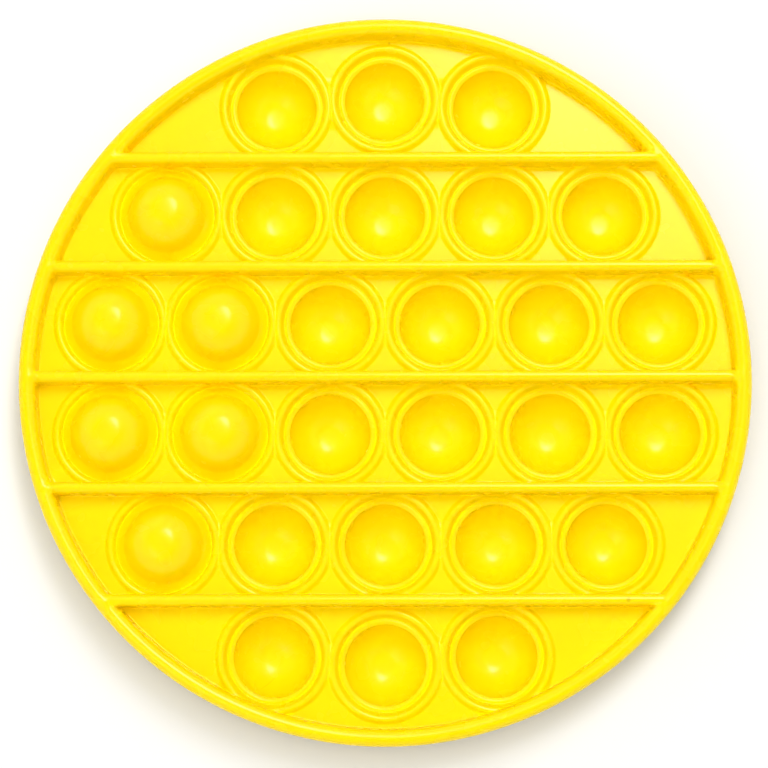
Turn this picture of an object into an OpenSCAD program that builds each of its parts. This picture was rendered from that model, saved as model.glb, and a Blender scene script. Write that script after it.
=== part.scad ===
/* [Disc] */
// Outer diameter of the disc
disc_d = 125; // [115:1:140]
// Height of the rim bead over both faces
rim_h = 10; // [8:0.5:12]
// Width of the rim bead at its rounded top
rim_w = 2.8; // [2:0.1:4]
// Thickness of the flat web between the bubbles
web_t = 1.5; // [1.2:0.1:2]

/* [Ribs] */
// Width of a straight rib at its rounded top
rib_w = 1.9; // [1.4:0.1:2.6]
// How far the rib tops stay below the rim top
rib_drop = 0.15; // [0.05:0.05:1]
// Slope of the rim and rib walls, in degrees
draft = 3; // [1:0.5:5]
// Radius where the rim's wall meets the web
foot_r = 0.4; // [0.2:0.05:0.6]

/* [Bubbles] */
// Distance between neighbouring bubbles in a row
pitch = 18.85; // [18.6:0.05:19.6]
// Distance from row to row
row_pitch = 19; // [18.6:0.1:19.6]
// How far the middle bubble of the end rows is shifted outwards
end_shift = 1.4; // [0.5:0.1:2]
// Radius of the ring ridge at its crest
ring_r = 9.05; // [8.9:0.05:9.3]
// Width of the ring ridge
ring_w = 1.2; // [1:0.05:1.5]
// How far a ring ridge stands above the web
ring_h = 0.85; // [0.4:0.05:1.2]
// Chamfer along both edges of the ring ridge's top
ring_chamfer = 0.32; // [0.1:0.02:0.45]
// Depth of a lowered bubble from the middle of the web to its tip
bubble_depth = 7.2; // [6:0.1:8]
// Height of a raised bubble, which is flatter because its hinge is bent back
raised_height = 6.6; // [5:0.1:7.2]
// How much narrower the foot of a raised bubble is, on each side
raised_inset = 0.9; // [0:0.1:1]
// Wall of a bubble
bubble_wall = 0.8; // [0.6:0.05:1]
// Radius of the flat tip of a bubble, which a lowered one stands on
tip_r = 1.6; // [1:0.1:2]
// Thickness of the bead round the foot of a bubble
lip_t = 1; // [0.9:0.02:1.1]
// How far the bead stands proud of the bubble's outer wall
lip_step = 0.25; // [0.1:0.05:0.4]
// How far the crest of the bead lies above the middle of the web
lip_rise = 0.15; // [0:0.05:0.4]
// Gap between the bead and the ring ridge
groove_w = 0.45; // [0.3:0.01:0.55]
// Thickness of the thin hinge in the groove
hinge_t = 0.45; // [0.3:0.05:0.6]

/* [Hidden] */
$fn = 96;

// The bead has flat sides, because its many round faces would be too fine beside the bowls
BEAD_SIDES = 8;

silicone = "#ffe600";
disc_r = disc_d / 2;
web_top = web_t / 2;
rim_top = rim_h / 2;
rim_r = disc_r - rim_w / 2;
rib_top = rim_top - rib_drop;
// The fillets and ridges start this far inside the solid that they grow from
sink = 0.03;
// The sides of a wall start this far inside its round top
nick = 0.003;

// Bubbles in each row, from the far row to the near one
ROW_COUNTS = [3, 5, 6, 6, 5, 3];
// Bubbles that are pushed up, as [row, place in the row], the others are pushed down
RAISED = [[1, 0], [2, 0], [2, 1], [3, 0], [3, 1], [4, 0]];
rows = len(ROW_COUNTS);

// The well is the round opening in the web that holds one bubble
well_r = ring_r - ring_w / 2 + sink;
lip_r = well_r - groove_w - lip_t / 2;
lip_z = lip_rise - lip_t / 2;

// Outside of a bubble: a ball that passes through its foot, level with the bead, and through its flat tip
foot_out = lip_r + lip_t / 2 - lip_step;
function ball_drop(foot, height) = (tip_r * tip_r + height * height - foot * foot) / (2 * height);
function ball_r(foot, height) = sqrt(foot * foot + pow(ball_drop(foot, height), 2));

// Distance from the middle of a wall to its foot on the web
function wall_foot(width, top) = width / 2 + (top - width / 2 - web_top) * tan(draft);

function row_y(row) = ((rows - 1) / 2 - row) * row_pitch;
function is_raised(row, i) = len([for (r = RAISED) if (r[0] == row && r[1] == i) r]) > 0;
function is_shifted(row, i) = (row == 0 || row == rows - 1) && i == (ROW_COUNTS[row] - 1) / 2;
function bubble_x(row, i) = (i - (ROW_COUNTS[row] - 1) / 2) * pitch;
function bubble_y(row, i) = row_y(row) + (is_shifted(row, i) ? sign(row_y(row)) * end_shift : 0);

// Places its first child at each lowered bubble, and its last one, turned over, at each raised bubble
module at_bubbles() {
    for (row = [0 : rows - 1])
        for (i = [0 : ROW_COUNTS[row] - 1])
            translate([bubble_x(row, i), bubble_y(row, i), 0])
                if (is_raised(row, i))
                    rotate([180, 0, 0])
                        children($children - 1);
                else
                    children(0);
}

// Half section of a rim or rib wall: the wall's middle is x = 0 and its rounded top is at z = top
module wall_side(width, top) {
    round_r = width / 2;
    slope = tan(draft);
    foot = wall_foot(width, top);
    translate([0, top - round_r])
        circle(r = round_r);
    polygon([
        [0, 0],
        [foot + web_top * slope, 0],
        [round_r * cos(draft) - nick, top - round_r + round_r * sin(draft)],
        [0, top - round_r + round_r * sin(draft)]
    ]);
}

// Small round fillet where the rim's inner wall meets the web
module rim_fillet() {
    fillet_x = wall_foot(rim_w, rim_top) - foot_r * tan(draft) + foot_r;
    difference() {
        translate([0, web_top - 2 * sink])
            square([fillet_x, foot_r + 2 * sink]);
        translate([fillet_x, web_top + foot_r - sink])
            circle(r = foot_r);
    }
}

module rim() {
    rotate_extrude($fn = 240) {
        for (side = [0, 1])
            mirror([0, side])
                translate([rim_r, 0])
                    mirror([1, 0]) {
                        wall_side(rim_w, rim_top);
                        rim_fillet();
                    }
        translate([rim_r - sink, rim_w / 2 - rim_top])
            square([rim_w / 2 + sink, rim_h - rim_w]);
    }
}

// Flat web, cut out under the crest of each ridge
module web() {
    translate([0, 0, -web_top])
        linear_extrude(height = web_t)
            difference() {
                circle(r = rim_r, $fn = 240);
                at_bubbles()
                    circle(r = ring_r);
            }
}

module rib(y) {
    half = sqrt(rim_r * rim_r - y * y);
    translate([-half, y, 0])
        rotate([90, 0, 90])
            linear_extrude(height = 2 * half)
                for (side = [0, 1], face = [0, 1])
                    mirror([side, 0])
                        mirror([0, face])
                            wall_side(rib_w, rib_top);
}

// Half section of the chamfered ridge round one bubble, on both faces of the web
module ring_section() {
    half = ring_w / 2;
    top = web_top + ring_h;
    translate([ring_r, 0])
        for (side = [0, 1])
            mirror([0, side])
                polygon([
                    [-half, 0],
                    [half, 0],
                    [half, top - ring_chamfer],
                    [half - ring_chamfer, top],
                    [ring_chamfer - half, top],
                    [-half, top - ring_chamfer]
                ]);
}

// Half section of a ball that is cut off at its foot and at its flat tip
module ball_section(foot, height, wall) {
    intersection() {
        translate([0, lip_z - ball_drop(foot, height)])
            circle(r = ball_r(foot, height) - wall);
        translate([0, lip_z - height + wall])
            square([ring_r, height]);
    }
}

// One bubble that hangs down, with its bead, its hinge and the ring ridge round it
module bubble(foot, height) {
    rotate_extrude() {
        difference() {
            ball_section(foot, height, 0);
            ball_section(foot, height, bubble_wall);
        }
        translate([lip_r, lip_z])
            rotate(180 / BEAD_SIDES)
                circle(r = lip_t / 2 / cos(180 / BEAD_SIDES), $fn = BEAD_SIDES);
        translate([min(lip_r, foot) - bubble_wall / 2, lip_z - hinge_t / 2])
            square([ring_r - min(lip_r, foot) + bubble_wall / 2, hinge_t]);
        ring_section();
    }
}

module bubble_disc() {
    color(silicone)
        translate([0, 0, bubble_depth]) {
            difference() {
                rim();
                at_bubbles()
                    translate([0, 0, -rim_top])
                        cylinder(r = well_r, h = rim_h);
            }
            web();
            for (line = [1 : rows - 1])
                rib((rows / 2 - line) * row_pitch);
            at_bubbles() {
                bubble(foot_out, bubble_depth + lip_z);
                bubble(foot_out - raised_inset, raised_height + lip_z);
            }
        }
}

bubble_disc();
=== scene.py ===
# %% [markdown]
# # A bubble popping disc in silicone rubber
#
# The toy is one compression moulding: a rounded rim, five straight ribs, a thin web and 28
# domes that snap from one side to the other. This lesson models the moulding as one closed
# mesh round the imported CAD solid, and gives it the soft, slightly waxy finish of silicone.

import math

import bpy
import numpy as np
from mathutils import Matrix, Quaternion, Vector
from mathutils.geometry import delaunay_2d_cdt


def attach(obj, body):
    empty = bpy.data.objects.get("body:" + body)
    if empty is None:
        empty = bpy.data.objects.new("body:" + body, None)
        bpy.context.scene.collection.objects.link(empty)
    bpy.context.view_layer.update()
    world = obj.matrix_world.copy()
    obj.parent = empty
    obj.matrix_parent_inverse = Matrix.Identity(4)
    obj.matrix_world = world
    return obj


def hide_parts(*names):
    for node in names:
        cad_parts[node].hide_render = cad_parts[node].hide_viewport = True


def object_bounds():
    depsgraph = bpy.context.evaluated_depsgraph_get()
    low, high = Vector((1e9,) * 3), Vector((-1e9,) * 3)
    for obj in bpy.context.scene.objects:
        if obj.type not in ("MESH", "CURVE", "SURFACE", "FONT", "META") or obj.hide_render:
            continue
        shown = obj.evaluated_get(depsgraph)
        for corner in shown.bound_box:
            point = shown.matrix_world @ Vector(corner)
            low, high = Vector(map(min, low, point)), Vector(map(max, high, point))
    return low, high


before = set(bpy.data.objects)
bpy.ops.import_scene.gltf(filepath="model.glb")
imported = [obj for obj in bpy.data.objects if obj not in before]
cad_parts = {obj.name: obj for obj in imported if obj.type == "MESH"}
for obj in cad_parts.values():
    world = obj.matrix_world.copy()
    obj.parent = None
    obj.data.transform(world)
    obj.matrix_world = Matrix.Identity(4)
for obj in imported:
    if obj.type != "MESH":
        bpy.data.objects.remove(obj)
cad_low, cad_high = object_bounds()
MM = 0.001
NODE = "bubble_disc"
print("solid", NODE, "size in mm", [round(size / MM, 2) for size in cad_high - cad_low])

# %% [markdown]
# ## Sizes
#
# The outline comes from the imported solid. The rest of the section, such as the ridges and the
# walls, can't be read from a box, so it is named here in millimetres. Heights are counted from
# the middle of the web, because the moulding is the same on both faces apart from its bubbles.

# %% Sizes in millimetres
disc_r = (cad_high.x - cad_low.x) / 2 / MM
bubble_depth = 7.2
raised_height = (cad_high.z - cad_low.z) / MM - bubble_depth

rim_w = 2.8
rim_top = 5.0
rim_r = disc_r - rim_w / 2
rib_w = 1.9
rib_drop = 0.15
rib_top = rim_top - rib_drop
web_top = 0.75
draft = math.radians(3)

pitch = 18.85
row_pitch = 19.0
end_shift = 1.4
ring_r = 9.05
ring_h = 0.85
ring_top = web_top + ring_h
ring_round = 0.6
ring_slope = math.radians(55)
well_slope = math.radians(68)

bubble_wall = 0.8
lip_half = 0.5
lip_r = 7.5
lip_rise = 0.15
lip_z = lip_rise - lip_half
hinge_half = 0.225
tip_r = 1.6
wide_foot = 7.75
raised_inset = 0.9
narrow_foot = wide_foot - raised_inset
print("disc radius", round(disc_r, 2), "mm")
print("bubbles", bubble_depth, "mm down and", round(raised_height, 2), "mm up")

# %% [markdown]
# ## Where the bubbles are
#
# Six rows hold 3, 5, 6, 6, 5 and 3 bubbles. The middle bubble of each end row is moved
# outwards into the free corner of the disc. Six bubbles at the left are pushed up. An array
# modifier could repeat one bubble, but the rows differ in length and the bubbles in state, so
# a list of centres is plainer.

# %% Bubble centres
ROW_COUNTS = [3, 5, 6, 6, 5, 3]
RAISED = {(1, 0), (2, 0), (2, 1), (3, 0), (3, 1), (4, 0)}


def bubble_centre(row, place):
    """Centre of one bubble, with row 0 farthest from the viewer."""
    count = ROW_COUNTS[row]
    x = (place - (count - 1) / 2) * pitch
    y = ((len(ROW_COUNTS) - 1) / 2 - row) * row_pitch
    if row in (0, len(ROW_COUNTS) - 1) and place == (count - 1) / 2:
        y += math.copysign(end_shift, y)
    return x, y


places = [(row, place) for row, count in enumerate(ROW_COUNTS) for place in range(count)]
centres = np.array([bubble_centre(row, place) for row, place in places])
raised = np.array([key in RAISED for key in places])
rib_ys = [(len(ROW_COUNTS) / 2 - line) * row_pitch for line in range(1, len(ROW_COUNTS))]
print(len(centres), "bubbles,", int(raised.sum()), "of them raised;", len(rib_ys), "ribs")

# %% [markdown]
# ## The section of the moulding as functions
#
# Seen from straight above, no point of the upper face hides another, and the same holds for
# the lower face. So each face can be one height field: a function that gives the height over
# any point of the plan. Sculpting would give the same look, but functions keep the repeats
# alike and let the mesh follow every crest. A soft maximum blends one form into the next with
# the small radius that a mould leaves.

# %% Soft maximum


def soft_max(a, b, blend):
    """Maximum of two heights, rounded where they are closer than blend."""
    near = np.clip(blend - np.abs(a - b), 0, None) / blend
    return np.maximum(a, b) + near * near * blend / 4


print("where two forms cross, the blend fills in", float(soft_max(0.0, 0.0, 1.0)), "of its width")

# %% [markdown]
# Rim and ribs are walls with one kind of section: a half-round top, sides that lean by the
# draft that lets the mould open, and a small fillet at the foot. Bevelled curves could draw
# them, but they would only lie in the web. As heights they grow out of what they stand on.

# %% Rim and rib walls
RIM_FILLET = 0.25
RIB_FILLET = 0.15


def wall_height(d, width, top, fillet, base):
    """Height of a wall at distance d from its middle, with a fillet onto height base."""
    half = width / 2
    round_z = top - half
    tangent_d = half * math.cos(draft)
    tangent_z = round_z + half * math.sin(draft)
    fillet_z = base + fillet
    fillet_d = tangent_d + (fillet - (fillet_z - tangent_z) * math.sin(draft)) / math.cos(draft)
    over = round_z + np.sqrt(np.clip(half**2 - d**2, 0, None))
    side = tangent_z - (d - tangent_d) / math.tan(draft)
    foot = fillet_z - np.sqrt(np.clip(fillet**2 - (fillet_d - d) ** 2, 0, None))
    z = np.where(d < tangent_d, over, side)
    z = np.where(d > fillet_d - fillet * math.cos(draft), foot, z)
    return np.where(d > fillet_d, base, z)


def wall_distance(z, width, top):
    """Distance from the middle of a wall at which its side has height z."""
    half = width / 2
    tangent_z = top - half + half * math.sin(draft)
    if z > tangent_z:
        return math.sqrt(max(half**2 - (z - top + half) ** 2, 0))
    return half * math.cos(draft) + (tangent_z - z) * math.tan(draft)


rib_foot = wall_distance(web_top, rib_w, rib_top)
rim_foot = wall_distance(web_top, rim_w, rim_top)
print("rib foot", round(rib_foot, 3), "rim foot", round(rim_foot, 3))

# %% [markdown]
# A ridge runs round each bubble and keeps the web stiff while the bubble snaps. It has a round
# crest and straight sides, of which the one towards the bubble is the steeper.

# %% Ridges
crest_z = ring_top - ring_round
outer_r = ring_r + ring_round * math.sin(ring_slope)
outer_z = crest_z + ring_round * math.cos(ring_slope)
inner_r = ring_r - ring_round * math.sin(well_slope)
inner_z = crest_z + ring_round * math.cos(well_slope)
ring_foot = outer_r + (outer_z - web_top) / math.tan(ring_slope)
cut_r = inner_r - (inner_z - web_top) / math.tan(well_slope)


def ring_height(r):
    """Height of a ridge at distance r from its bubble's centre."""
    crown = crest_z + np.sqrt(np.clip(ring_round**2 - (r - ring_r) ** 2, 0, None))
    inner = inner_z - (inner_r - r) * math.tan(well_slope)
    outer = outer_z - (r - outer_r) * math.tan(ring_slope)
    return np.where(r < inner_r, inner, np.where(r > outer_r, outer, crown))


print("ridge from", round(cut_r, 2), "to", round(ring_foot, 2), "mm from the bubble's centre")

# %% [markdown]
# A bubble is a ball that is cut off at its foot and ends in a flat tip. It hangs in a thin
# hinge, with a round bead at its foot. The wall of a lowered bubble meets the bead in a small
# cove. A raised bubble is narrower and flatter, because its hinge is bent back, and the hinge
# turns the bead outwards into a sloping ledge.

# %% Balls and their blends
# A height that loses against every other one
FAR_BELOW = -9.0
# Rounding at the edge of the flat tip and between bead and hinge, and the radius of the cove
TIP_BLEND = 0.25
BEAD_BLEND = 0.1
COVE = 0.35
# The bowl's wall ends this far inside the widest circle of its hollow ball
BOWL_EDGE = 0.02
# A raised bubble has a softer tip, and a ledge that rises from inside the bead's outer edge
RAISED_TIP_BLEND = 0.4
LEDGE_SLOPE = math.radians(46)
LEDGE_TOP = 1.7
LEDGE_SHOULDER = 0.1
LEDGE_BLEND = 1.2


def ball_through(foot, height):
    """Radius of the ball through a foot and a flat tip, and the height of its centre."""
    drop = (tip_r**2 + height**2 - foot**2) / (2 * height)
    return math.hypot(foot, drop), lip_z - drop


WIDE = (bubble_depth, *ball_through(wide_foot, bubble_depth + lip_z))
NARROW = (raised_height, *ball_through(narrow_foot, raised_height + lip_z))
print("ball radius", round(WIDE[1], 2), "lowered and", round(NARROW[1], 2), "raised")

# %% Beads and bowls


def bead_height(r, middle):
    """Upper side of the bead and the thin hinge at the foot of a bubble, round height middle."""
    half = np.sqrt(np.clip(lip_half**2 - (r - lip_r) ** 2, 0, None))
    bead = np.where(np.abs(r - lip_r) < lip_half, middle + half, FAR_BELOW)
    return soft_max(bead, middle + hinge_half, BEAD_BLEND)


def bowl_height(r, form):
    """Hollow face of a bubble, as far as its bead."""
    depth, ball_r, ball_z = form
    hollow_r = ball_r - bubble_wall
    ball = ball_z - np.sqrt(np.clip(hollow_r**2 - r**2, 0, None))
    hollow = soft_max(ball, bubble_wall - depth, TIP_BLEND)
    return np.where(r < hollow_r - BOWL_EDGE, hollow, bead_height(r, lip_z))


bottom = bowl_height(np.array([0.0]), WIDE)[0]
print("bottom of a bowl at", round(float(bottom), 2), "mm")

# %% Domes


def ball_height(r, form, blend):
    """Round outside of a bubble with its flat tip."""
    depth, ball_r, ball_z = form
    ball = np.sqrt(np.clip(ball_r**2 - r**2, 0, None)) - ball_z
    return -soft_max(-ball, -depth, blend)


def lowered_dome(r):
    """Round face of a lowered bubble, with the small cove between its wall and the bead."""
    _, ball_r, ball_z = WIDE
    ledge = hinge_half - lip_z
    cove_r = math.sqrt(ball_r**2 - (ledge + COVE + ball_z) ** 2) + COVE
    cove = ledge + COVE - np.sqrt(np.clip(COVE**2 - (cove_r - r) ** 2, 0, None))
    beside = np.where(r < cove_r, cove, FAR_BELOW)
    z = np.where(r > cove_r - COVE, beside, ball_height(r, WIDE, TIP_BLEND))
    return soft_max(z, bead_height(r, -lip_z), BEAD_BLEND)


def raised_dome(r):
    """Round face of a raised bubble, whose wall runs softly into the sloping ledge."""
    slope = hinge_half - lip_z + (lip_r + lip_half - LEDGE_SHOULDER - r) * math.tan(LEDGE_SLOPE)
    ledge = np.minimum(slope, LEDGE_TOP)
    return soft_max(ball_height(r, NARROW, RAISED_TIP_BLEND), ledge, LEDGE_BLEND)


for label, radius in (("tip", 0.0), ("bead", lip_r), ("groove", lip_r + lip_half), ("crest", ring_r)):
    r = np.array([radius])
    bowl, dome, ridge = bowl_height(r, WIDE)[0], raised_dome(r)[0], ring_height(r)[0]
    print(f"{label:7s} bowl {bowl:6.2f}  dome {dome:6.2f}  ridge {ridge:6.2f}")

# %% [markdown]
# One function now puts the forms together over any point: the bubble inside its ridge, the web
# outside, and the walls on top. The lower face is the same function with the other side of
# each bubble.

# %% Both faces
# Rounding in the groove inside a ridge, at its outer foot, and where a rib runs into the rim
GROOVE_BLEND = 0.45
RAISED_GROOVE_BLEND = 0.12
WEB_BLEND = 0.2
CORNER_BLEND = 0.1


def bubble_distances(x, y):
    """Distance of each point from the centre of each bubble, with one row for each point."""
    return np.hypot(x[:, None] - centres[:, 0], y[:, None] - centres[:, 1])


def rib_distance(y):
    """Distance of each point from the middle of the nearest rib."""
    return np.abs(y[:, None] - np.array(rib_ys)).min(axis=1)


def face_height(x, y, upper):
    """Height of one face over the plan, counted outwards from the middle of the web."""
    distance = bubble_distances(x, y)
    nearest = distance.argmin(axis=1)
    r = distance[np.arange(len(x)), nearest]
    up = raised[nearest]
    bowl = np.where(up, bowl_height(r, NARROW), bowl_height(r, WIDE))
    dome = np.where(up, raised_dome(r), lowered_dome(r))
    bubble = np.where(up == upper, dome, bowl)
    groove_blend = np.where(up, RAISED_GROOVE_BLEND, GROOVE_BLEND)
    well = np.where(r > lip_r, soft_max(bubble, ring_height(r), groove_blend), bubble)
    web = soft_max(web_top, ring_height(distance).max(axis=1), WEB_BLEND)
    z = np.where(r < ring_r, well, web)
    rib = wall_height(rib_distance(y), rib_w, rib_top, RIB_FILLET, z)
    rim_d = rim_r - np.hypot(x, y)
    rim = wall_height(np.abs(rim_d), rim_w, rim_top, RIM_FILLET, z)
    walls = np.where(rim_d > 0, soft_max(rib, rim, CORNER_BLEND), rim)
    return np.where(r < cut_r, well, walls)


middle = face_height(np.array([0.0]), np.array([0.0]), True)[0]
print("top of the middle rib at", round(float(middle), 2), "mm")

# %% [markdown]
# ## Points that follow the form
#
# A height field on a square grid would blur the thin beads. Here the points lie on circles
# round each bubble, on lines along each rib and on circles round the rim, close together
# where the section bends. Where two forms cross, extra points mark the crease.

# %% Stations across each form
SECTORS = 38
TIP_STATIONS = [0.8, 1.3, 1.6, 1.9, 2.7, 3.6, 4.5]
WIDE_STATIONS = [5.3, 6.0, 6.45, 6.72, 6.9, 7.02]
NARROW_STATIONS = [5.2, 5.75, 6.1, 6.35, 6.55, 6.7, 6.8, 6.86, 6.95, 7.05]
RING_STATIONS = [7.17, 7.34, 7.5, 7.64, 7.76, 7.86, 7.94, 8.01, 8.09, 8.18, 8.28, 8.4, 8.5, 8.65]
RING_STATIONS += [8.85, 9.05, 9.25, 9.42, 9.56, 9.75, 9.9, 9.99, 10.12]

# Distance of each line from the rib's middle, and how many steps apart its points are
RIB_STEP = 0.97
RIB_OFFSETS = [(0, 3), (0.3, 3), (0.55, 3), (0.75, 3), (0.88, 1), (0.945, 1)]
RIB_OFFSETS += [(1.03, 1), (1.1, 1), (1.15, 1), (1.22, 1), (1.32, 1), (1.42, 1)]

# Distance of each circle from the rim's middle, then angles round its outer edge
RIM_SECTORS = 240
RIM_OFFSETS = [-2.0, -1.85, -1.72, -1.62, -1.55, -1.48, -1.4, -1.33, -1.2, -1.0, -0.7, -0.35, 0]
RIM_OUTSIDE = [15, 30, 45, 60, 72, 82, 90]
print(len(TIP_STATIONS + WIDE_STATIONS + RING_STATIONS), "circles round a lowered bubble")

# %% Chains of points
# Points of the web keep this far from a wall's foot, and from the border between two bubbles
WALL_GAP = 0.05
CELL_GAP = 0.04
points = []
edges = []


def clear_of_walls(x, y, gap=WALL_GAP):
    """True where a point lies on the web and not on the rim or a rib."""
    rim_d = rim_r - np.hypot(x, y)
    return (rib_distance(y) > rib_foot + gap) & (rim_d > rim_foot + gap)


def own_cell(x, y, index):
    """True where bubble index is the nearest one."""
    distance = bubble_distances(x, y)
    others = np.delete(distance, index, axis=1).min(axis=1)
    return distance[:, index] < others - CELL_GAP


def point_count():
    """How many points there are so far."""
    return sum(len(chain) for chain in points)


def add_chain(x, y, keep, closed=False):
    """Adds a chain of points. Kept neighbours are joined by an edge that the mesh must follow."""
    label = point_count() + np.cumsum(keep) - 1
    points.append(np.column_stack([x, y])[keep])
    after = np.roll(np.arange(len(x)), -1)
    linked = keep & keep[after]
    if not closed:
        linked[-1] = False
    edges.extend(zip(label[linked].tolist(), label[after][linked].tolist()))


print("points of the web begin", round(rib_foot + WALL_GAP, 2), "mm from the middle of a rib")

# %% Points round the bubbles
for index, (cx, cy) in enumerate(centres):
    points.append(np.array([[cx, cy]]))
    stations = [(radius, SECTORS // 2) for radius in TIP_STATIONS]
    wall_stations = NARROW_STATIONS if raised[index] else WIDE_STATIONS
    stations += [(radius, SECTORS) for radius in wall_stations + RING_STATIONS]
    for radius, count in stations:
        angle = (np.arange(count) + 0.5) * 2 * math.pi / count
        x, y = cx + radius * np.cos(angle), cy + radius * np.sin(angle)
        keep = (radius < cut_r) | (clear_of_walls(x, y) & own_cell(x, y, index))
        add_chain(x, y, keep, closed=True)
print("bubble points", point_count())

# %% Points on the ribs
# A line at some distance from the rib's middle is about as high as the rim is at that distance
# from its own middle, so there the two meet. The line stops a little before that.
MEETING_GAP = 0.3
RIM_CROWN = 0.3
before = point_count()
for rib_y in rib_ys:
    for offset, steps in RIB_OFFSETS:
        for side in (-1, 1) if offset else (1,):
            y = rib_y + side * offset
            half_count = int(rim_r / (steps * RIB_STEP))
            x = np.arange(-half_count, half_count + 1) * steps * RIB_STEP
            rim_d = rim_r - np.hypot(x, y)
            add_chain(x, np.full(len(x), y), rim_d > max(offset, RIM_CROWN) + MEETING_GAP)
print("rib points", point_count() - before)

# %% Points on the rim
# Circles on the rim's crest and outside it are whole, and the others stop at ribs and bubbles
CROWN_EDGE = 0.1
CUT_GAP = 0.02
before = point_count()
rim_angle = np.arange(RIM_SECTORS) * 2 * math.pi / RIM_SECTORS
rim_rings = [rim_r + offset for offset in RIM_OFFSETS]
rim_rings += [rim_r + rim_w / 2 * math.sin(math.radians(a)) for a in RIM_OUTSIDE]
for radius in rim_rings:
    x, y = radius * np.cos(rim_angle), radius * np.sin(rim_angle)
    rim_d = rim_r - radius
    off_ribs = rib_distance(y) > min(rim_d, rib_foot) + MEETING_GAP
    off_bubbles = bubble_distances(x, y).min(axis=1) > cut_r + CUT_GAP
    add_chain(x, y, (rim_d < CROWN_EDGE) | (off_ribs & off_bubbles), closed=True)
print("rim points", point_count() - before)

# %% [markdown]
# A crease is where two forms meet at the same height. Each form is a line or a circle at that
# height, so the crease points are where those lines and circles cross, at a few heights from
# foot to crest.

# %% Where circles and lines cross
# How many heights of a rib and how many steps across a ridge get crease points
CREASE_HEIGHTS = 12
RIDGE_STEPS = 9
# The highest points lie a little under a rib's top, and some lie inside the foot of a wall
TOP_GAP = 0.02
INTO_WALL = 0.3


def rim_crossings(cx, cy, r, z):
    """Where a circle round (cx, cy) meets the rim's side at height z."""
    big = rim_r - wall_distance(z, rim_w, rim_top)
    span = math.hypot(cx, cy)
    if span + r <= big:
        return []
    along = (big**2 - r**2 + span**2) / (2 * span)
    across = math.sqrt(max(big**2 - along**2, 0))
    ux, uy = cx / span, cy / span
    return [(along * ux + s * across * uy, along * uy - s * across * ux) for s in (-1, 1)]


def rib_crossings(cx, cy, r, z):
    """Where a circle round (cx, cy) meets the sides of the ribs at height z."""
    crossings = []
    for rib_y in rib_ys:
        rise = abs(cy - rib_y) - wall_distance(z, rib_w, rib_top)
        if 0 < rise < r:
            x = math.sqrt(r**2 - rise**2)
            y = cy + math.copysign(rise, rib_y - cy)
            crossings += [(cx - x, y), (cx + x, y)]
    return crossings


def ridge_crossings(index, r):
    """Where a circle of radius r round bubble index meets the same circle round later bubbles."""
    crossings = []
    cx, cy = centres[index]
    for ox, oy in centres[index + 1 :]:
        span = math.hypot(ox - cx, oy - cy)
        if span / 2 < r:
            across = math.sqrt(r**2 - span**2 / 4)
            ux, uy = (ox - cx) / span, (oy - cy) / span
            mx, my = (cx + ox) / 2, (cy + oy) / 2
            crossings += [(mx - across * uy, my + across * ux), (mx + across * uy, my - across * ux)]
    return crossings


print("the foot of the first ridge meets others at", len(ridge_crossings(0, ring_foot)), "points")

# %% Points on the creases
before = point_count()
for rib_y in rib_ys:
    for z in np.linspace(web_top, rib_top - TOP_GAP, CREASE_HEIGHTS):
        rib_d = wall_distance(z, rib_w, rib_top)
        radius = rim_r - wall_distance(z, rim_w, rim_top)
        y = np.array([rib_y - rib_d, rib_y - rib_d, rib_y + rib_d, rib_y + rib_d])
        x = np.sqrt(radius**2 - y**2) * np.array([-1, 1, -1, 1])
        points.append(np.column_stack([x, y]))

for index, (cx, cy) in enumerate(centres):
    for r in np.linspace(inner_r, ring_foot, RIDGE_STEPS):
        z = float(max(ring_height(np.array([r]))[0], web_top))
        crease = rib_crossings(cx, cy, r, z) + rim_crossings(cx, cy, r, z) + ridge_crossings(index, r)
        if crease:
            x, y = np.array(crease).T
            keep = clear_of_walls(x, y, gap=-INTO_WALL)
            points.append(np.column_stack([x, y])[keep])
print("crease points", point_count() - before)

# %% [markdown]
# ## One closed mesh
#
# A Delaunay triangulation joins the points of the plan. It is used twice, lifted to the upper
# face and to the lower one, and a band round the outside closes the two into one solid skin.
# The normals come from the height functions themselves, so the small facets shade as the
# smooth form does.

# %% Triangulate the plan
# Points nearer than this become one, and a triangle with less than this twice its area goes
MERGE_DISTANCE = 1e-4
SLIVER_AREA = 1e-7
plan_points = np.vstack(points)
made = delaunay_2d_cdt([Vector(p) for p in plan_points], edges, [], 0, MERGE_DISTANCE)
plan = np.array([tuple(v) for v in made[0]])
triangles = np.array([tuple(f) for f in made[2] if len(f) == 3])
a, b, c = (plan[triangles[:, i]] for i in range(3))
turn = (b - a)[:, 0] * (c - a)[:, 1] - (b - a)[:, 1] * (c - a)[:, 0]
triangles[turn < 0] = triangles[turn < 0][:, ::-1]
triangles = triangles[np.abs(turn) > SLIVER_AREA]
print(len(plan), "points,", len(triangles), "triangles in the plan")

# %% Normals of a face
# A slope is taken over a step to each side, which softens the creases by as much
SLOPE_STEP = 0.035
# From this far outside its crest the rim is shaded as the round edge that it is
CREST_GAP = 0.01


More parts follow.
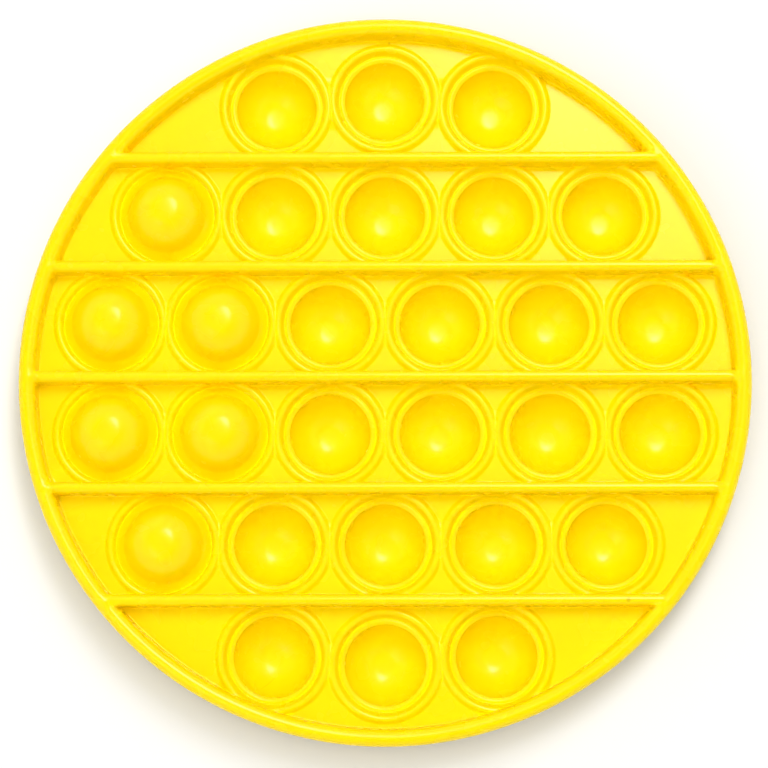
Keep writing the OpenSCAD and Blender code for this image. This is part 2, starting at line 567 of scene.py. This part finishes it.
def face_normals(x, y, upper):
    """Unit normals of a face from its slopes, and round the rim's outer edge from its circle."""
    ahead_x, behind_x = face_height(x + SLOPE_STEP, y, upper), face_height(x - SLOPE_STEP, y, upper)
    ahead_y, behind_y = face_height(x, y + SLOPE_STEP, upper), face_height(x, y - SLOPE_STEP, upper)
    slope_x = (ahead_x - behind_x) / (2 * SLOPE_STEP)
    slope_y = (ahead_y - behind_y) / (2 * SLOPE_STEP)
    normal = np.column_stack([-slope_x, -slope_y, np.ones(len(x))])
    radius = np.hypot(x, y)
    lean = np.clip((radius - rim_r) / (rim_w / 2), 0, 1)
    outwards = np.column_stack([x, y]) / radius.clip(1)[:, None] * lean[:, None]
    outer_edge = np.column_stack([outwards, np.sqrt(1 - lean**2)])
    outside = radius > rim_r + CREST_GAP
    normal = np.where(outside[:, None], outer_edge, normal)
    return normal / np.linalg.norm(normal, axis=1)[:, None]


print("slopes are measured over", 2 * SLOPE_STEP, "mm")

# %% Lift the plan to both faces
x, y = plan.T
upper_z = face_height(x, y, True)
lower_z = -face_height(x, y, False)
vertices = np.vstack([np.column_stack([x, y, upper_z]), np.column_stack([x, y, lower_z])])
upper_n = face_normals(x, y, True)
lower_n = face_normals(x, y, False) * [1, 1, -1]
normals = np.vstack([upper_n, lower_n])
faces = np.vstack([triangles, triangles[:, ::-1] + len(plan)])
print("upper face from", round(upper_z.min(), 2), "to", round(upper_z.max(), 2), "mm")

# %% Close the outside with a band
EDGE_WIDTH = 1e-3
edge = np.where(np.hypot(x, y) > disc_r - EDGE_WIDTH)[0]
edge = edge[np.argsort(np.arctan2(y[edge], x[edge]))]
following = np.roll(edge, -1)
low_edge, low_following = edge + len(plan), following + len(plan)
upper_band = np.column_stack([edge, low_edge, following])
lower_band = np.column_stack([following, low_edge, low_following])
faces = np.vstack([faces, upper_band, lower_band])
print(len(vertices), "vertices,", len(faces), "triangles,", len(edge), "round the edge")

# %% Make the object


def add_object(name, data):
    """A new object in the scene that shows the data."""
    made_object = bpy.data.objects.new(name, data)
    bpy.context.scene.collection.objects.link(made_object)
    return made_object


mesh = bpy.data.meshes.new("silicone_disc")
mesh.from_pydata(((vertices + [0, 0, bubble_depth]) * MM).tolist(), [], faces.tolist())
mesh.validate()
mesh.polygons.foreach_set("use_smooth", [True] * len(mesh.polygons))
mesh.normals_split_custom_set_from_vertices(normals.tolist())
mesh.update()
disc = add_object("silicone_disc", mesh)
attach(disc, "root")
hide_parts(NODE)
print("made", disc.name, [round(size / MM, 2) for size in disc.dimensions])

# %% [markdown]
# ## Silicone rubber
#
# Silicone is cast with its pigment all through it, so its colour is even and saturated, light
# enters it a millimetre or two and comes out again warmer, and its surface is satin because
# the mould is bead blasted. Scattering under the surface gives the glow in the thin ribs and
# the orange tint in the corners. An image of the surface could be painted instead, but a
# material made of nodes is sharp at any distance and needs no file.

# %% Colours and nodes


def linear(hex_colour):
    """An sRGB hex colour as linear red, green, blue and alpha."""
    parts = [int(hex_colour[i : i + 2], 16) / 255 for i in (1, 3, 5)]
    return [p / 12.92 if p <= 0.04045 else ((p + 0.055) / 1.055) ** 2.4 for p in parts] + [1]


def add_node(tree, kind, inputs=None, **settings):
    """Adds a shader node: settings are its properties, inputs are values or links from outputs."""
    node = tree.nodes.new(kind)
    for key, value in settings.items():
        setattr(node, key, value)
    for key, value in (inputs or {}).items():
        if isinstance(value, bpy.types.NodeSocket):
            tree.links.new(value, node.inputs[key])
        else:
            node.inputs[key].default_value = value
    return node


def new_material(name):
    """An empty material and its node tree."""
    material = bpy.data.materials.new(name)
    material.use_nodes = True
    material.node_tree.nodes.clear()
    return material, material.node_tree


print("mid grey in linear light", round(linear("#808080")[0], 3))

# %% [markdown]
# A toy that has been handled picks up lint. There is one fibre in a bowl of the nearest row, two
# pale crumbs on a rib, and two darker dots. They are far smaller than a facet, so they are made
# as round spots in the colour, at points counted in millimetres from the middle of the web.

# %% Where the lint lies
# Centre and radius of each spot
CRUMBS = [((24.3, -18.1, 4.2), 0.4), ((29.3, -19.95, 3.8), 0.4)]
DOTS = [((40.85, -38.05, 4.85), 0.5), ((0.8, 59.0, 0.9), 0.35)]
# The fibre is the part of a circle, with its centre and radius in the plan, inside a ball
FIBRE_REACH = ((-19.72, -50.33, -2.96), 3.2)
FIBRE_BEND = ((-25.45, -45.79), 8.2)
FIBRE_MM = 0.13
# Share of a spot's radius that has its full colour
SPOT_CORE = 0.5


def spot_mask(tree, place, centre, radius):
    """1 near a point of the surface and 0 beyond radius, in millimetres, with a soft edge."""
    x, y, z = centre
    middle = (x * MM, y * MM, (z + bubble_depth) * MM)
    apart = add_node(tree, "ShaderNodeVectorMath", {0: place, 1: middle}, operation="DISTANCE")
    limits = {"From Min": radius * MM, "From Max": SPOT_CORE * radius * MM}
    limits["Value"] = apart.outputs["Value"]
    return add_node(tree, "ShaderNodeMapRange", limits).outputs["Result"]


print(len(CRUMBS), "crumbs,", len(DOTS), "dots and one fibre")

# %% The fibre and the tints


def fibre_mask(tree, place):
    """1 along a thin arc that is drawn on the bowl from above."""
    (x, y), bend = FIBRE_BEND
    flat = add_node(tree, "ShaderNodeVectorMath", {0: place, 1: (1, 1, 0)}, operation="MULTIPLY")
    ends = {0: flat.outputs["Vector"], 1: (x * MM, y * MM, 0)}
    apart = add_node(tree, "ShaderNodeVectorMath", ends, operation="DISTANCE")
    terms = {0: apart.outputs["Value"], 1: bend * MM}
    off = add_node(tree, "ShaderNodeMath", terms, operation="SUBTRACT")
    away = add_node(tree, "ShaderNodeMath", {0: off.outputs["Value"]}, operation="ABSOLUTE")
    limits = {"Value": away.outputs["Value"], "From Min": FIBRE_MM * MM, "From Max": 0.0}
    line = add_node(tree, "ShaderNodeMapRange", limits)
    terms = {0: line.outputs["Result"], 1: spot_mask(tree, place, *FIBRE_REACH)}
    return add_node(tree, "ShaderNodeMath", terms, operation="MULTIPLY").outputs["Value"]


def tinted(tree, colour, mask, tint, strength):
    """The colour with a tint laid over it where the mask is 1."""
    amount = add_node(tree, "ShaderNodeMath", {0: mask, 1: strength}, operation="MULTIPLY")
    inputs = {"Fac": amount.outputs["Value"], "Color1": colour, "Color2": linear(tint)}
    return add_node(tree, "ShaderNodeMixRGB", inputs).outputs["Color"]


print("the fibre is", 2 * FIBRE_MM, "mm wide with its soft edges")

# %% [markdown]
# The pigment is never mixed perfectly, so the yellow drifts a little over a centimetre or so.
# Handling polishes some patches a little more than others. Bead blasting leaves a grain near a
# tenth of a millimetre, which is less than a pixel here, so it is drawn at a third of a
# millimetre, where it breaks up the highlights as the real one does.

# %% Silicone's colour
YELLOWS = ("#ffdd00", "#ffe200")
DRIFT_MM = 14
CRUMB_TINT = ("#fff6b0", 0.5)
DOT_TINT = ("#8a6a00", 0.35)
FIBRE_TINT = ("#7a5a00", 0.4)
silicone, tree = new_material("silicone rubber moulding")
place = add_node(tree, "ShaderNodeTexCoord").outputs["Object"]
pattern = {"Vector": place, "Scale": 1 / (DRIFT_MM * MM), "Detail": 1}
drift = add_node(tree, "ShaderNodeTexNoise", pattern)
ends = {"Color1": linear(YELLOWS[0]), "Color2": linear(YELLOWS[1])}
mixed = add_node(tree, "ShaderNodeMixRGB", {"Fac": drift.outputs["Fac"], **ends})
yellow = mixed.outputs["Color"]
for spots, tint in ((CRUMBS, CRUMB_TINT), (DOTS, DOT_TINT)):
    for centre, radius in spots:
        yellow = tinted(tree, yellow, spot_mask(tree, place, centre, radius), *tint)
yellow = tinted(tree, yellow, fibre_mask(tree, place), *FIBRE_TINT)
print("colour", YELLOWS, "drifting over", DRIFT_MM, "mm")

# %% Silicone's surface
PATCH_MM = 5
SATIN = {"To Min": 0.24, "To Max": 0.3}
GRAIN_MM = 0.35
GRAIN_DEPTH_MM = 0.02
GRAIN_STRENGTH = 0.12
SILICONE_IOR = 1.41
GLOW_MM = 0.8
GLOW_BY_COLOUR = (1.0, 0.7, 0.1)
pattern = {"Vector": place, "Scale": 1 / (PATCH_MM * MM), "Detail": 2}
patches = add_node(tree, "ShaderNodeTexNoise", pattern)
polish = add_node(tree, "ShaderNodeMapRange", {"Value": patches.outputs["Fac"], **SATIN})
pattern = {"Vector": place, "Scale": 1 / (GRAIN_MM * MM), "Detail": 2}
grain = add_node(tree, "ShaderNodeTexNoise", pattern)
relief = {"Height": grain.outputs["Fac"], "Strength": GRAIN_STRENGTH, "Distance": GRAIN_DEPTH_MM * MM}
bump = add_node(tree, "ShaderNodeBump", relief)
skin = add_node(
    tree,
    "ShaderNodeBsdfPrincipled",
    {
        "Base Color": yellow,
        "Roughness": polish.outputs["Result"],
        "IOR": SILICONE_IOR,
        "Subsurface Weight": 1.0,
        "Subsurface Radius": GLOW_BY_COLOUR,
        "Subsurface Scale": GLOW_MM * MM,
        "Normal": bump.outputs["Normal"],
    },
)
# The simplest kind of scattering renders fastest, and it keeps the thin ribs even in tone
skin.subsurface_method = "BURLEY"
add_node(tree, "ShaderNodeOutputMaterial", {"Surface": skin.outputs["BSDF"]})
disc.data.materials.append(silicone)
print("material", silicone.name)

# %% [markdown]
# ## The studio
#
# The toy stands on a white table, and the photo was taken from above with a fairly long lens.
# A curved backdrop could stand behind it, but nothing of it would be seen, so a flat card does.

# %% Floor
FLOOR_REACH = 1.5
CARD_WHITE = "#f0f0f0"
floor_mesh = bpy.data.meshes.new("floor")
corners = [(-1, -1), (1, -1), (1, 1), (-1, 1)]
floor_mesh.from_pydata([(x * FLOOR_REACH, y * FLOOR_REACH, 0) for x, y in corners], [], [(0, 1, 2, 3)])
floor = add_object("floor", floor_mesh)
paper, tree = new_material("matt white card")
card = add_node(tree, "ShaderNodeBsdfPrincipled", {"Base Color": linear(CARD_WHITE), "Roughness": 0.9})
add_node(tree, "ShaderNodeOutputMaterial", {"Surface": card.outputs["BSDF"]})
floor_mesh.materials.append(paper)
print("floor", 2 * FLOOR_REACH, "m wide, material", paper.name)

# %% [markdown]
# The camera was worked out from the photo: the ridges, ribs and rim lie at known heights, and
# how far they shift against each other gives its place, its tilt and the length of its lens.

# %% Camera
PHOTO_SIDE = 768
FOCAL_PX = 2400
SENSOR_MM = 36
TILT = (7.19, 0.26, -0.07)
CAMERA_MM = (1.6, -52.5, 409.4 + bubble_depth)
camera_data = bpy.data.cameras.new("camera")
camera_data.sensor_width = SENSOR_MM
camera_data.lens = SENSOR_MM * FOCAL_PX / PHOTO_SIDE
camera_data.clip_start = 0.01
camera_data.clip_end = 10
camera = add_object("camera", camera_data)
camera.location = Vector(CAMERA_MM) * MM
camera.rotation_euler = [math.radians(angle) for angle in TILT]
bpy.context.scene.camera = camera
print("lens", round(camera_data.lens, 1), "mm")

# %% [markdown]
# One softbox beyond the far edge, a little to the right, makes the bright spot in each bowl, and
# a weaker one at the near left makes the second, fainter spot on the domes. A room light from
# the near left and a diffuser overhead lift the colour. Their reflections are switched off,
# because they would lay a haze over the yellow. The room itself is bright near the horizon and
# dim overhead, which lights the slopes and keeps the flat faces clear.

# %% Softboxes


def soft_light(name, lean, distance, size, power, turn=0, glints=True):
    """A rectangular light over the disc, in metres and watts.

    lean is its angles from straight above, to the right and away from the viewer. turn is how
    far it is turned about its own axis. Without glints its reflection is switched off.
    """
    data = bpy.data.lights.new(name, "AREA")
    data.shape = "RECTANGLE"
    data.size, data.size_y = size
    data.energy = power
    light = add_object(name, data)
    light.visible_glossy = glints
    slope_x, slope_y = (math.tan(math.radians(angle)) for angle in lean)
    way = Vector((slope_x, slope_y, 1)).normalized()
    light.location = way * distance
    turned = Quaternion((0, 0, 1), math.radians(turn))
    light.rotation_euler = (way.to_track_quat("Z", "Y") @ turned).to_euler()
    print(name, power, "W")


soft_light("key softbox", lean=(10.5, 27), distance=0.9, size=(0.2, 0.38), power=3.4, turn=10)
soft_light("fill softbox", lean=(-25, -22), distance=0.9, size=(0.4, 0.4), power=0.55)
soft_light("room light", lean=(-38, -28), distance=0.9, size=(0.8, 0.8), power=1.7, glints=False)
soft_light("overhead diffuser", lean=(2, 0), distance=1.0, size=(0.7, 0.7), power=4.9, glints=False)

# %% The room
# A direction's height runs from 0 at the horizon to 1 overhead. The room is dim above the first
# height and bright below the second one, and changes evenly between them.
DIM_ABOVE = 0.85
BRIGHT_BELOW = 0.45
DIM = 0.03
BRIGHT = 0.7
world = bpy.data.worlds.new("white room")
world.use_nodes = True
tree = world.node_tree
tree.nodes.clear()
direction = add_node(tree, "ShaderNodeTexCoord").outputs["Generated"]
upward = add_node(tree, "ShaderNodeSeparateXYZ", {"Vector": direction}).outputs["Z"]
limits = {"From Min": DIM_ABOVE, "From Max": BRIGHT_BELOW, "To Min": DIM, "To Max": BRIGHT}
strength = add_node(tree, "ShaderNodeMapRange", {"Value": upward, **limits}).outputs["Result"]
sky = add_node(tree, "ShaderNodeBackground", {"Strength": strength})
add_node(tree, "ShaderNodeOutputWorld", {"Surface": sky.outputs["Background"]})
bpy.context.scene.world = world
bpy.context.scene.view_settings.view_transform = "Standard"
print("room light from", DIM, "overhead to", BRIGHT, "at the sides")
